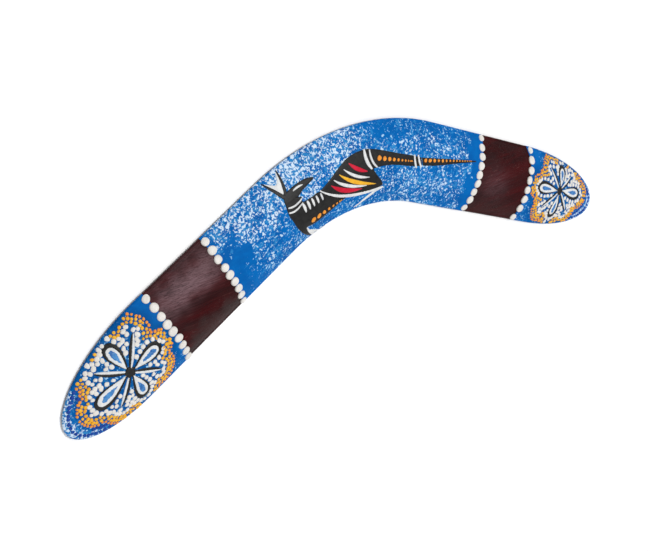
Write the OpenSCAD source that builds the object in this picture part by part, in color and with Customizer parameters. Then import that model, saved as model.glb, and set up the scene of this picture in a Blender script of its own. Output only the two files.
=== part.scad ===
// Painted wooden boomerang.
// A flat-bottomed, dome-topped bent blank of one board, with hand-painted layers on the top.
// Units are millimetres. The underside lies on z = 0, the wing tips point along x,
// and the outside of the elbow points along +y.

/* [Blank] */
// Half the width of the blade, measured across the arm
half_w = 23.75; // [18:0.25:30]
// Height of the crown of the dome above the underside
crown_h = 9; // [6:0.5:14]
// Radius that rounds the thin edge of the blade
edge_r = 1.3; // [0.8:0.1:2]
// Radius of the middle line of the elbow
elbow_r = 128.7; // [90:0.1:180]
// Angle each arm falls away from the line between the tips
arm_angle = 24.6; // [15:0.1:40]
// Length of the straight part of each arm
arm_len = 97; // [60:1:150]
// Length of the rounded end of the left arm
tip_left = 55; // [30:0.5:90]
// Length of the rounded end of the right arm
tip_right = 72.5; // [30:0.5:90]
// How far the left end leans towards the inside edge, per unit of width
lean_left = 0.42; // [0:0.01:0.5]
// How far the right end leans towards the inside edge, per unit of width
lean_right = 0.37; // [0:0.01:0.5]

/* [Paint] */
// Thickness of the blue ground coat
coat = 0.2; // [0.1:0.05:0.5]
// Thickness of each painted figure laid on the ground coat
film_t = 0.25; // [0.1:0.05:0.6]
// Height of the raised dots in the four rows across the arms
row_dot_h = 0.9; // [0.4:0.1:1.5]
// Radius of the raised dots in the four rows across the arms
row_dot_r = 2.45; // [1.5:0.05:2.6]
// Number of raised dots in a row across an arm, one less in the outer row of the right arm
row_dots = 9; // [5:1:9]
// Height of the small dots of the tip pattern
small_dot_h = 0.45; // [0.2:0.05:0.8]
// Height the ground coat stops above the underside
coat_edge = 2.8; // [0.1:0.1:3]

/* [Bands] */
// Distance along the left arm from the elbow middle to the outer dot row
row_left_out = 137.3; // [110:0.1:145]
// Distance along the left arm from the elbow middle to the inner dot row
row_left_in = 95.9; // [70:0.1:105]
// Distance along the right arm from the elbow middle to the inner dot row
row_right_in = 99.2; // [70:0.1:105]
// Distance along the right arm from the elbow middle to the outer dot row
row_right_out = 147.6; // [110:0.1:150]

/* [Hidden] */
$fn = 96;

// paint and wood colours
wood = [0.24, 0.09, 0.07];
blue = [0.02, 0.38, 0.76];
deep_blue = [0.02, 0.22, 0.58];
white = [0.92, 0.91, 0.88];
black = [0.07, 0.07, 0.07];
orange = [0.90, 0.52, 0.10];
yellow = [0.93, 0.66, 0.08];
red = [0.80, 0.05, 0.12];

// the dome is one circle arc over the blade, down to the rounded edge
rise = crown_h - 2 * edge_r;
flat_w = half_w - edge_r;
dome_r = (flat_w * flat_w + rise * rise) / (2 * rise);
dome_z = crown_h - dome_r;
elbow_u = elbow_r * arm_angle * PI / 180;
tip_u = elbow_u + arm_len;
// moves the drawing frame so the finished part is centred on the origin
centre_x = -7.97;
centre_y = 33.83;
// the ground coats run on under the raised dots this far
under_dots = 1.5;
// the last dot of a row across an arm stands this far in from the rounded edge
row_margin = 0.95;
// a spike with its black edge: half its width, and how far its middle lies to the black side
spike_half_w = 1.4;
spike_lean = 0.35;
joint_gap = 0.01;
fig = coat + film_t;
detail = coat + 2 * film_t;
// the kangaroo is drawn from a point this far below the middle line of the elbow
figure_drop = 22.6;
// radii of the small dots of each colour
white_r = 1;
yellow_r = 0.85;
orange_r = 0.75;
blue_r = 0.85;

function tip_len(side) = side < 0 ? tip_left : tip_right;
function lean(side) = side < 0 ? -lean_left : -lean_right;

// ---------- the body, grown outwards by g ----------
module half_profile(g = 0) {
    intersection() {
        translate([0, dome_z]) circle(dome_r + g);
        square([flat_w, crown_h + g + 1]);
    }
    intersection() {
        translate([flat_w, edge_r]) circle(edge_r + g);
        translate([flat_w, 0]) square([edge_r + g + 1, 2 * edge_r + g + 1]);
    }
}

module profile(g = 0) {
    half_profile(g);
    mirror([1, 0]) half_profile(g);
}

// children drawn along an arm: x runs out from the elbow middle, y to the outside edge
module along(side) {
    mirror([side < 0 ? 1 : 0, 0, 0])
        translate([0, -elbow_r, 0])
            rotate([0, 0, -arm_angle])
                translate([-elbow_u, elbow_r, 0])
                    children();
}

module elbow(g = 0) {
    translate([0, -elbow_r, 0])
        rotate([0, 0, 90 - arm_angle])
            rotate_extrude(angle = 2 * arm_angle)
                translate([elbow_r, 0]) profile(g);
}

module arm(side, g = 0) {
    along(side) difference() {
        translate([elbow_u, 0, 0])
            rotate([90, 0, 90])
                linear_extrude(arm_len + half_w) profile(g);
        translate([tip_u, 0, -5])
            rotate([0, 0, atan(-lean(side))])
                translate([0, -80, 0]) cube([80, 160, 40]);
    }
}

module tip(side, g = 0) {
    stretch = (tip_len(side) + g) / (half_w + g);
    along(side)
        translate([tip_u, 0, 0])
            multmatrix([[stretch, lean(side), 0, 0], [0, 1, 0, 0], [0, 0, 1, 0], [0, 0, 0, 1]])
                rotate([0, 0, -90])
                    rotate_extrude(angle = 180) half_profile(g);
}

module centred() {
    translate([centre_x, centre_y, 0]) children();
}

// ---------- paint layers between two growths of the body ----------
// a layer that runs on past the end of the elbow or of an arm has a hairline joint there
module elbow_sector() {
    reach = 220;
    w = arm_angle - joint_gap / elbow_r * 57.3;
    corner = [reach * sin(w), reach * cos(w)];
    translate([0, -elbow_r])
        polygon([[0, 0], corner, [0, reach], [-corner.x, corner.y]]);
}

module arm_sector(side) {
    k = lean(side);
    u0 = elbow_u + joint_gap;
    u1 = tip_u - joint_gap;
    along_flat(side) polygon([[u0, -60], [u1 - 60 * k, -60], [u1 + 60 * k, 60], [u0, 60]]);
}

module tip_sector(side) {
    k = lean(side);
    translate([tip_u + joint_gap, 0])
        polygon([[-60 * k, -60], [200, -60], [200, 60], [60 * k, 60]]);
}

module elbow_film(g0, g1) {
    difference() {
        intersection() {
            elbow(g1);
            translate([0, 0, coat_edge]) linear_extrude(20) intersection() {
                elbow_sector();
                children();
            }
        }
        elbow(g0);
    }
}

module arm_film(side, g0, g1) {
    difference() {
        intersection() {
            arm(side, g1);
            translate([0, 0, coat_edge]) linear_extrude(20) intersection() {
                arm_sector(side);
                children();
            }
        }
        arm(side, g0);
    }
}

module tip_film(side, g0, g1) {
    difference() {
        intersection() {
            tip(side, g1);
            translate([0, 0, coat_edge]) linear_extrude(20) along_flat(side) intersection() {
                tip_sector(side);
                children();
            }
        }
        tip(side, g0);
    }
}

// the same arm frame for flat shapes
module along_flat(side) {
    mirror([side < 0 ? 1 : 0, 0])
        translate([0, -elbow_r])
            rotate(-arm_angle)
                translate([-elbow_u, elbow_r])
                    children();
}

// ---------- flat drawing helpers ----------
function mix3(a, b, c, t) = (1 - t) * (1 - t) * a + 2 * t * (1 - t) * b + t * t * c;
function unit(v) = v / max(norm(v), 0.0001);
function side_of(a, b, c, t) = let (d = unit(2 * (1 - t) * (b - a) + 2 * t * (c - b))) [-d.y, d.x];

// a brush stroke along a curve from a to c, bent towards b
module stroke(a, b, c, w0, w1, w2, steps = 10) {
    up = [for (i = [0:steps]) let (t = i / steps)
        mix3(a, b, c, t) + side_of(a, b, c, t) * mix3(w0, w1, w2, t) / 2];
    down = [for (i = [steps:-1:0]) let (t = i / steps)
        mix3(a, b, c, t) - side_of(a, b, c, t) * mix3(w0, w1, w2, t) / 2];
    polygon(concat(up, down));
}

// a smooth closed outline through the given points
function at(p, i) = p[(i + len(p)) % len(p)];
function spline(p0, p1, p2, p3, t) =
    0.5 * (2 * p1 + (p2 - p0) * t + (2 * p0 - 5 * p1 + 4 * p2 - p3) * t * t
    + (3 * p1 - p0 - 3 * p2 + p3) * t * t * t);
module smooth(p, steps = 4) {
    polygon([for (i = [0:len(p) - 1], s = [0:steps - 1])
        spline(at(p, i - 1), at(p, i), at(p, i + 1), at(p, i + 2), s / steps)]);
}

// ---------- raised dots ----------
module bead(r, h) {
    ball = (r * r + h * h) / (2 * h);
    rotate_extrude($fn = 40)
        intersection() {
            translate([0, h - ball]) circle(ball, $fn = 180);
            square([r + 1, h + 1]);
        }
}

// a bead standing on a layer of the elbow or of a straight arm
function bend(x, y) = max(-arm_angle, min(arm_angle, atan2(x, y + elbow_r)));
function lateral(x, y) = x * sin(bend(x, y)) + (y + elbow_r) * cos(bend(x, y)) - elbow_r;
module bead_xy(x, y, r, h, g) {
    v = lateral(x, y);
    big = dome_r + g;
    translate([x, y, dome_z + sqrt(big * big - v * v)])
        rotate([0, 0, -bend(x, y)])
            rotate([-asin(v / big), 0, 0])
                bead(r, h);
}

module bead_arm(side, u, v, r, h, g) {
    big = dome_r + g;
    along(side)
        translate([u, v, dome_z + sqrt(big * big - v * v)])
            rotate([-asin(v / big), 0, 0])
                bead(r, h);
}

// a bead standing on a layer of an arm end
function squash(side, g) = (half_w + g) / (tip_len(side) + g);
function along_t(side, u, v, g) = max(0, (u - tip_u - lean(side) * v) * squash(side, g));
function reach(side, u, v, g = coat) = norm([v, along_t(side, u, v, g)]);
module bead_tip(side, u, v, r, h, g) {
    big = dome_r + g;
    t = along_t(side, u, v, g);
    high = sqrt(big * big - v * v - t * t);
    nu = t * squash(side, g) / high;
    nv = (v - t * lean(side) * squash(side, g)) / high;
    along(side)
        translate([u, v, dome_z + high])
            rotate(a = atan(norm([nu, nv])), v = [-nv, nu, 0])
                bead(r, h);
}

// ---------- wood and ground coats ----------
module wood_blank() {
    color(wood) centred() {
        elbow();
        arm(-1);
        arm(1);
        tip(-1);
        tip(1);
    }
}

module strip(side, u0, u1) {
    along_flat(side) translate([u0, -40]) square([u1 - u0, 80]);
}

module blue_coat_elbow() {
    color(blue) centred() {
        elbow_film(0, coat) square([200, 200], center = true);
        arm_film(-1, 0, coat) strip(-1, elbow_u - 1, row_left_in + under_dots);
        arm_film(1, 0, coat) strip(1, elbow_u - 1, row_right_in + under_dots);
    }
}

module tip_coat(side, u0) {
    arm_film(side, 0, coat) strip(side, u0 - under_dots, tip_u + half_w);
    tip_film(side, 0, coat) translate([u0 - under_dots, -60]) square([160, 120]);
}

module blue_coat_left_tip() {
    color(blue) centred() tip_coat(-1, row_left_out);
}

module blue_coat_right_tip() {
    color(blue) centred() tip_coat(1, row_right_out);
}

// ---------- rows of raised dots across the arms ----------
module dot_row(side, u, count) {
    pitch = 2 * (flat_w - row_margin) / (count - 1);
    color(white) centred()
        for (i = [0:count - 1])
            bead_arm(side, u, (i - (count - 1) / 2) * pitch, row_dot_r, row_dot_h, coat);
}

module dot_row_left_outer() {
    dot_row(-1, row_left_out, row_dots);
}

module dot_row_left_inner() {
    dot_row(-1, row_left_in, row_dots);
}

module dot_row_right_inner() {
    dot_row(1, row_right_in, row_dots);
}

module dot_row_right_outer() {
    dot_row(1, row_right_out, row_dots - 1);
}

// ---------- the kangaroo: flat outlines, measured from the inside of the elbow ----------
module figure() {
    translate([0, -figure_drop]) children();
}

module on_elbow(g0, g1) {
    elbow_film(g0, g1) figure() children();
}

module on_right_arm(g0, g1) {
    arm_film(1, g0, g1) figure() children();
}

module ears_flat() {
    stroke([-60.4, 32.2], [-56, 28.4], [-50.6, 23.2], 0.6, 2.2, 2.6);
    stroke([-50.2, 36.6], [-49.0, 30], [-49.4, 24.4], 0.6, 2.2, 2);
}

module ear_fill_flat() {
    difference() {
        smooth([[-59, 31.6], [-55.8, 30.6], [-53.2, 30], [-51.7, 32],
            [-50.7, 36], [-50, 30], [-50.8, 24.2], [-54.5, 27.6]]);
        ears_flat();
        head_flat();
    }
}

module head_flat() {
    smooth([[-51.2, 21.8], [-49.6, 24.6], [-46, 26.4], [-40, 28.3], [-34.5, 29], [-30.4, 28],
        [-34.5, 25.7], [-38.5, 23.8], [-41.6, 21.5], [-45.5, 19.8], [-50.4, 18.8]]);
}

module leg_line_flat() {
    stroke([-27.8, 19.9], [-12, 8], [17.6, 7.9], 0.8, 3.2, 1.2, 16);
}

module body_flat() {
    difference() {
        smooth([[-50.6, 20], [-49.9, 13.4], [-47.4, 8.8], [-44.8, 4.4], [-41, 0], [-37, -3.2],
            [-31.6, -6], [-34.6, -2], [-37, 1.4], [-31.5, 1.8], [-25, 3.6], [-18, 6.4], [-11.5, 9.2],
            [-9, 10.6], [-14, 13], [-21, 16.2], [-28.2, 19.6], [-34, 18.4], [-39.8, 17.7],
            [-40.4, 20.6], [-46, 21]], 3);
        head_flat();
        leg_line_flat();
        haunch_flat();
    }
}

module haunch_flat() {
    difference() {
        polygon([[-28, 19.9], [-24, 21.9], [-20, 24.2], [-16, 26.9], [-12, 29.4], [-8, 31.4],
            [-4, 32.6], [0, 33.2], [4, 33.3], [8, 33], [10.9, 21], [10.7, 20.2], [13.4, 16.2],
            [16.2, 12.6], [17.8, 9.6], [16, 8.7], [10, 8.5], [4, 8.6], [-2, 9], [-8, 9.9],
            [-14, 11.6], [-19, 13.9], [-24, 16.9]]);
        leg_line_flat();
    }
}

module tail_root_flat() {
    polygon([[8, 33], [14, 31.2], [20, 28.8], [26, 26.2], [32, 23.6], [38, 21.2], [42, 19.5], [46.8, 17.2],
        [46.8, 12.1], [42, 13.3], [36, 15.2], [30, 17.5], [24, 19.4], [18, 20.6], [14, 21], [10.9, 21]]);
}

module tail_bands_flat() {
    stroke([41.7, 19.7], [41.2, 16], [42.2, 12.6], 1.2, 1.6, 1.2, 6);
    stroke([44.6, 18.8], [44.6, 15.5], [45.8, 12.2], 1.2, 1.6, 1.2, 6);
}

module tail_end_flat() {
    polygon([[47, 17.1], [56, 14], [66, 10.7], [78, 6.7], [91.6, 2],
        [91.6, 1.3], [78, 4.6], [66, 7.1], [56, 9.4], [47.4, 12]]);
}

module forepaw_flat() {
    difference() {
        union() {
            stroke([-37.2, 1.3], [-34.5, -3], [-28.2, -6.6], 0.8, 2.6, 1.2);
            stroke([-33.6, -1.6], [-29.5, -4.4], [-21.6, -5.8], 1.2, 2, 0.8);
        }
        body_flat();
    }
}

module foot_flat() {
    difference() {
        union() {
            stroke([17.4, 7.9], [9, 6.9], [0.6, 1.2], 1.4, 1.8, 0.8);
            stroke([12, 6], [6, 3.6], [-1.2, 1], 0.5, 1.2, 0.6);
        }
        leg_line_flat();
    }
}

module lens(a, b, c, w) {
    stroke(a, b, c, 0.3, 2 * w, 0.3);
}

module kangaroo_ears() {
    color(black) centred() on_elbow(coat, fig) difference() {
        ears_flat();
        head_flat();
    }
}

module kangaroo_ear_fill() {
    color(white) centred() on_elbow(coat, fig) ear_fill_flat();
}

module kangaroo_head() {
    color(black) centred() on_elbow(coat, fig) head_flat();
}

module kangaroo_eye() {
    color(white) centred() on_elbow(fig, detail)
        stroke([-44.6, 25], [-41.5, 26.6], [-38.2, 26.5], 0.6, 2, 0.4);
}

module kangaroo_body() {
    color(black) centred() on_elbow(coat, fig) body_flat();
}

module kangaroo_haunch() {
    color(black) centred() on_elbow(coat, fig) haunch_flat();
}

module kangaroo_neck_bands() {
    color(white) centred() on_elbow(fig, detail) {
        stroke([-49.4, 17], [-45, 16.2], [-40.6, 19.4], 0.9, 1.4, 0.9);
        stroke([-49.3, 14.3], [-45, 13.2], [-40.2, 17.2], 0.9, 1.4, 0.7);
    }
}

module kangaroo_rib_stripes() {
    color(white) centred() on_elbow(fig, detail)
        for (i = [0:4])
            stroke([-40.2 + 3.1 * i, 16.4 + 0.5 * i], [-38.9 + 3 * i, 14 + 0.6 * i],
                [-38.4 + 3 * i, 11.4 + 0.8 * i], 1.2 - 0.08 * i, 2.5 - 0.2 * i, 0.8, 6);
}

module kangaroo_belly_dots() {
    color(orange) centred()
        figure_dots([-32.8, 4.7], [20, 5], 1.65, 0.45, 8);
}

// a row of dots that grow smaller and stand closer together the further they run
function ease(t) = 1 - pow(1 - t, 1.45);
module figure_dots(start, run, big, small, count) {
    for (i = [0:count - 1]) {
        t = i / (count - 1);
        r = small + (big - small) * pow(1 - t, 1.5);
        at = start + run * ease(t);
        bead_xy(at.x, at.y - figure_drop, r, small_dot_h * (0.4 + 0.4 * r), fig);
    }
}

module kangaroo_forepaw() {
    color(white) centred() on_elbow(coat, fig) forepaw_flat();
}

module kangaroo_thigh_red() {
    color(red) centred() on_elbow(fig, detail) {
        lens([-6.6, 29.3], [-1.6, 23.6], [6.2, 20.9], 2.3);
        lens([-20.2, 20.6], [-12.6, 13.6], [2, 11.9], 2.6);
    }
}

module kangaroo_thigh_white() {
    color(white) centred() on_elbow(fig, detail) {
        lens([-10.6, 27], [-3.2, 19.4], [7.6, 17.1], 1.65);
        lens([-18.2, 23.2], [-10, 15.6], [5.6, 12.7], 1.75);
    }
}

module kangaroo_thigh_yellow() {
    color(yellow) centred() on_elbow(fig, detail) lens([-13.9, 24.9], [-5.4, 16.6], [12.4, 11.7], 2.2);
}

module kangaroo_leg_line() {
    color(white) centred() on_elbow(coat, fig) leg_line_flat();
}

module kangaroo_foot() {
    color(white) centred() on_elbow(coat, fig) foot_flat();
}

module kangaroo_hip_bands() {
    color(white) centred() on_elbow(fig, detail) {
        stroke([5.9, 32.8], [5, 26.6], [9.2, 21.6], 1.4, 3.2, 1.1);
        stroke([9.5, 31.9], [8.8, 25.6], [13, 21.5], 0.9, 2, 0.9);
    }
}

module kangaroo_tail_root() {
    color(black) centred() on_elbow(coat, fig) tail_root_flat();
}

module kangaroo_tail_bands() {
    color(white) centred() on_elbow(fig, detail) tail_bands_flat();
}

module kangaroo_tail_end() {
    color(black) centred() {
        on_elbow(coat, fig) tail_end_flat();
        on_right_arm(coat, fig) tail_end_flat();
    }
}

module kangaroo_tail_dots() {
    color(orange) centred() {
        figure_dots([15.4, 25.8], [23.8, -8.6], 1.55, 0.45, 10);
        figure_dots([49.7, 14.5], [37.6, -11.3], 1.25, 0.32, 16);
    }
}

// ---------- the flower and dot pattern of the arm ends ----------
// the middle of each flower, in arm coordinates
function flower(side) = side < 0 ? [166.5, 0.6] : [181, 0.8];
// petals: direction, length, half width
function petals(side) = side < 0
    ? [[180, 20.5, 4.5], [-8, 24, 4.7], [88, 18.5, 4.3], [-89, 19.6, 4.4]]
    : [[180, 24.5, 4.2], [0, 25, 4.3], [87, 16.4, 4.1], [-90, 18.4, 4.3]];
// spikes between the petals: direction, length
function spikes(side) = side < 0
    ? [[134, 19.5], [41, 18], [-136, 18.5], [-43, 19]]
    : [[133, 18], [41, 16], [-137, 19], [-41, 18.5]];

// half width of a teardrop of length l and half width w at the distance s
function bulge(w, f) = w * 1.42 * sin(f) * pow(sin(f / 2), 1.5);
function tear_w(l, w, s) = bulge(w, acos(max(-1, min(1, 1 - 2 * s / l))));

module teardrop(l, w) {
    polygon([for (f = [0:15:345]) [l * (1 - cos(f)) / 2, bulge(w, f)]]);
}

module in_flower(side, direction) {
    translate(flower(side)) rotate(direction) children();
}

module each_petal(side) {
    for (p = petals(side))
        in_flower(side, p[0])
            translate([1.2, 0]) teardrop(p[1] - 1.2, p[2]);
}

// the outline round a petal is broader at its outer end
module each_inner_petal(side) {
    for (p = petals(side))
        in_flower(side, p[0])
            translate([2.4, 0]) teardrop(p[1] - 4.7, p[2] - 1.5);
}

module each_fill(side) {
    for (p = petals(side))
        in_flower(side, p[0])
            translate([p[1] * 0.32, 0]) teardrop(p[1] * 0.5, p[2] * 0.38);
}

module each_spike(side) {
    for (p = spikes(side))
        in_flower(side, p[0])
            polygon([[2.4, 0.6], [p[1] * 0.4, 1], [p[1] * 0.75, 0.95], [p[1], 0.2],
                [p[1], -0.2], [p[1] * 0.5, -0.4], [2.4, -0.2]]);
}

module each_spike_edge(side) {
    for (p = spikes(side))
        in_flower(side, p[0])
            polygon([[2.4, -0.2], [p[1] * 0.5, -0.4], [p[1], -0.2],
                [p[1] * 0.85, -1.2], [p[1] * 0.5, -1.75], [2.4, -0.9]]);
}

module centre_disc(side) {
    translate(flower(side)) circle(2.9, $fn = 40);
}

// only the flower of the left end is big enough to run on to the straight of its arm
module flower_film(side) {
    if (side < 0)
        arm_film(side, coat, fig) along_flat(side) children();
    tip_film(side, coat, fig) children();
}

module flower_centre(side) {
    color(black) centred() tip_film(side, coat, fig) centre_disc(side);
}

module petal_outlines(side) {
    color(black) centred() flower_film(side) difference() {
        each_petal(side);
        each_inner_petal(side);
        centre_disc(side);
    }
}

module petal_whites(side) {
    color(white) centred() flower_film(side) difference() {
        each_inner_petal(side);
        each_fill(side);
        centre_disc(side);
    }
}

module petal_fills(side) {
    color(blue) centred() flower_film(side) difference() {
        each_fill(side);
        centre_disc(side);
    }
}

module spike_whites(side) {
    color(white) centred() flower_film(side) difference() {
        each_spike(side);
        each_petal(side);
        centre_disc(side);
    }
}

module spike_edges(side) {
    color(black) centred() flower_film(side) difference() {
        each_spike_edge(side);
        each_petal(side);
        centre_disc(side);
    }
}

function turn(p, d) = [p.x * cos(d) + p.y * sin(d), p.y * cos(d) - p.x * sin(d)];
// how far a place is from the petals, the spikes and the middle of its flower
function petal_gap(q, p) = let (w = turn(q, p[0]), s = max(0, min(p[1], w.x)))
    norm([w.x - s, max(0, abs(w.y) - tear_w(p[1], p[2], s))]);
function spike_gap(q, p) = let (w = turn(q, p[0]))
    norm([w.x - max(1, min(p[1], w.x)), max(0, abs(w.y + spike_lean) - spike_half_w)]);
function flower_gap(side, q) = min(norm(q) - 2.9, min([for (p = petals(side)) petal_gap(q, p)]),
    min([for (p = spikes(side)) spike_gap(q, p)]));

// dots keep a little apart: each new dot is kept only when it is clear of the kept ones
function touches(kept, q, gap) = len([for (k = kept) if (norm(k - q) < gap) 1]) > 0;
function apart(c, gap, i = 0, kept = []) = i == len(c) ? kept :
    apart(c, gap, i + 1, touches(kept, c[i], gap) ? kept : concat(kept, [c[i]]));

function beside(p, s, e) = [p[1] * s + (s > 1 ? 0.9 : 0),
    e * (tear_w(p[1], p[2], min(1, s) * p[1]) + white_r + 0.35)];
function beside_petals(side) = [for (p = petals(side), s = [1.02, 0.9, 0.76, 0.62, 0.48, 0.34],
    e = [-1, 1]) turn(beside(p, s, e), -p[0])];
function beside_spikes(side) = [for (p = spikes(side), s = [p[1] + 1.4:-2.35:5], e = [-1, 1])
    turn([s, s > p[1] ? 0 : e * 2.5 - spike_lean], -p[0])];
function round_rings(side) = [for (r = [22.4:-1.2:6], d = [0:5:355])
    [r * cos(d) * 1.08, r * sin(d)]];
// the rings lie closer to the flower towards the elbow, where the row leaves less space
function drawn_in(q) = 2.1 * pow((1 - q.x / norm(q)) / 2, 4);
// the distance out from the middle at which a ray is so far from the flower, found from outside
function ring_reach(side, ray, gap, r = 45, steps = 14) = steps == 0 ? r :
    ring_reach(side, ray, gap, r - 0.9 * (flower_gap(side, r * ray) - gap), steps - 1);
// places at one distance round the flower
function contour(side, gap, from = 0, to = 360) = [for (d = [from:1:to - 1])
    let (ray = [cos(d), sin(d)]) ray * ring_reach(side, ray, gap - drawn_in(ray))];
function room(side, q, r) = let (c = flower(side), u = c.x + q.x, v = c.y + q.y, e = v < 0 ? -r : r)
    reach(side, u + r, v) < flat_w - 0.1 && reach(side, u, v + e) < flat_w - 0.1
    && reach(side, u + 0.7 * r, v + 0.7 * e) < flat_w - 0.1;

function near_flower(side) = concat(beside_petals(side), beside_spikes(side),
    contour(side, 3.55), round_rings(side));
function in_field(side, q) = let (gap = flower_gap(side, q))
    gap > white_r + 0.1 && gap < 3.6 - drawn_in(q);
function white_spots(side) = ring_spots(side, white_r, [for (q = near_flower(side))
    if (in_field(side, q)) q]);

module spots(side, list, r, h) {
    c = flower(side);
    centred()
        for (q = list)
            bead_tip(side, c.x + q.x, c.y + q.y, r, h, coat);
}

module white_dots(side) {
    color(white) spots(side, white_spots(side), white_r, small_dot_h);
}

// places along the rim of an arm end, at one share of the way out to the edge
function rim(side, out, from, to) = [for (d = [from:2:to]) let (v = out * sin(d))
    [tip_u + lean(side) * v + out * cos(d) / squash(side, 0), v] - flower(side)];
function row_end(side) = (side < 0 ? row_left_out : row_right_out) + row_dot_r + 1.2;
function ring_spots(side, r, list) = apart([for (q = list)
    if (room(side, q, r) && flower(side).x + q.x > row_end(side)) q],
    2 * r + 0.1);

module dot_ring(side, spots_at, r) {
    spots(side, ring_spots(side, r, spots_at), r, small_dot_h);
}

module yellow_dots(side) {
    color(yellow) dot_ring(side, concat(contour(side, 5.6), contour(side, 7.45)), yellow_r);
}

module orange_dots(side) {
    color(orange) dot_ring(side, contour(side, 9.15), orange_r);
}

// deep blue dots follow the rim round the very end of the arm
module blue_dots(side) {
    rows = [for (out = [21.4, 19.6, 17.8, 16]) each rim(side, out, -64, 46)];
    color(deep_blue) dot_ring(side, [for (q = rows) if (flower_gap(side, q) > 10.8) q], blue_r);
}

module left_flower_centre() {
    flower_centre(-1);
}

module left_petal_outlines() {
    petal_outlines(-1);
}

module left_petals() {
    petal_whites(-1);
}

module left_petal_fills() {
    petal_fills(-1);
}

module left_spikes() {
    spike_whites(-1);
}

module left_spike_edges() {
    spike_edges(-1);
}

module left_white_dots() {
    white_dots(-1);
}

module left_yellow_dots() {
    yellow_dots(-1);
}

module left_orange_dots() {
    orange_dots(-1);
}

module left_blue_dots() {
    blue_dots(-1);
}

module right_flower_centre() {
    flower_centre(1);
}

module right_petal_outlines() {
    petal_outlines(1);
}

module right_petals() {
    petal_whites(1);
}

module right_petal_fills() {
    petal_fills(1);
}

module right_spikes() {
    spike_whites(1);
}

module right_spike_edges() {
    spike_edges(1);
}

module right_white_dots() {
    white_dots(1);
}

module right_yellow_dots() {
    yellow_dots(1);
}

module right_orange_dots() {
    orange_dots(1);
}

module right_blue_dots() {
    blue_dots(1);
}

wood_blank();
blue_coat_elbow();
blue_coat_left_tip();
blue_coat_right_tip();
dot_row_left_outer();
dot_row_left_inner();
dot_row_right_inner();
dot_row_right_outer();
kangaroo_ears();
kangaroo_ear_fill();
kangaroo_head();
kangaroo_eye();
kangaroo_body();
kangaroo_haunch();
kangaroo_neck_bands();
kangaroo_rib_stripes();
kangaroo_belly_dots();
kangaroo_forepaw();
kangaroo_thigh_red();
kangaroo_thigh_white();
kangaroo_thigh_yellow();
kangaroo_leg_line();
kangaroo_foot();
kangaroo_hip_bands();
kangaroo_tail_root();
kangaroo_tail_bands();
kangaroo_tail_end();
kangaroo_tail_dots();
left_flower_centre();
left_petal_outlines();
left_petals();
left_petal_fills();
left_spikes();
left_spike_edges();
left_white_dots();
left_yellow_dots();
left_orange_dots();
left_blue_dots();
right_flower_centre();
right_petal_outlines();
right_petals();
right_petal_fills();
right_spikes();
right_spike_edges();
right_white_dots();
right_yellow_dots();
right_orange_dots();
right_blue_dots();
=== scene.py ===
# A painted wooden boomerang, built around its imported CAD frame.
import math

import bpy
import numpy as np
from mathutils import Matrix, Vector
from mathutils.geometry import delaunay_2d_cdt


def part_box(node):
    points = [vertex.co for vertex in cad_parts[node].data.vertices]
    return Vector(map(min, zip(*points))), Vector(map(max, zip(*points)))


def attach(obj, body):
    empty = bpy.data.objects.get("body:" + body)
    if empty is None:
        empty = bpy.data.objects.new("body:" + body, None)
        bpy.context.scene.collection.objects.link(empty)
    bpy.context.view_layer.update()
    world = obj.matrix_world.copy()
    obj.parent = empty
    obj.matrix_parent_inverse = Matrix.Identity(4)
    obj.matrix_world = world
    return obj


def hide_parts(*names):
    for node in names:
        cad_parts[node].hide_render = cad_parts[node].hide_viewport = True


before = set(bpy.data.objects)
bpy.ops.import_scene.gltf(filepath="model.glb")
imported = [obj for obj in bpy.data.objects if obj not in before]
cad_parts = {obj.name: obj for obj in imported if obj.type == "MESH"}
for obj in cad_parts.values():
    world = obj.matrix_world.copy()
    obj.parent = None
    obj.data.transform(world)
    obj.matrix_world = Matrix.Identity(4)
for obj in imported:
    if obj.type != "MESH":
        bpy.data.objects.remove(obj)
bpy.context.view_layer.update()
rng = np.random.default_rng(7)

# ---------------------------------------- the blade's shape, in millimetres
# sides are -1 for the left arm and 1 for the right one
HALF_W, CROWN, EDGE_R = 23.75, 9.0, 1.3
ELBOW_R, ARM_A, ARM_L = 128.7, math.radians(24.6), 97.0
# how long each tip's half ellipse is, and how far it leans
TIP_L = {-1: 55.0, 1: 72.5}
LEAN = {-1: -0.42, 1: -0.37}
# thickness of the ground coat
COAT = 0.2
# how far along their arm the rows of big dots lie
ROWS = {(-1, "out"): 137.3, (-1, "in"): 95.9, (1, "in"): 99.2, (1, "out"): 147.6}
OUTER_ROW = {side: ROWS[side, "out"] for side in (-1, 1)}
SIDE_WORD = {-1: "left", 1: "right"}
# the dome runs out to FLAT_W, then the rounded edge begins
FLAT_W = HALF_W - EDGE_R
RISE = CROWN - 2 * EDGE_R
DOME_R = (FLAT_W**2 + RISE**2) / (2 * RISE)
DOME_Z = CROWN - DOME_R
ELBOW_U = ELBOW_R * ARM_A
TIP_U = ELBOW_U + ARM_L
# where the middle of the elbow lies in the CAD frame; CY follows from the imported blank's own box
CX = -7.97
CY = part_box("wood_blank")[1].y * 1000 - HALF_W
S, C = math.sin(ARM_A), math.cos(ARM_A)
# paint stands this much proud, so that no face lies exactly in the one below it
LIFT = 0.02


def plan(side, u, v):
    """Arm coordinates (u along the blade from the elbow, v towards the outside edge) to x, y."""
    u, v = np.broadcast_arrays(np.asarray(u, float), np.asarray(v, float))
    th = np.clip(u / ELBOW_R, None, ARM_A)
    past = np.maximum(u - ELBOW_U, 0)
    x = (ELBOW_R + v) * np.sin(th) + past * C
    y = (ELBOW_R + v) * np.cos(th) - past * S - ELBOW_R
    return np.stack([side * x + CX, y + CY], -1)


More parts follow.
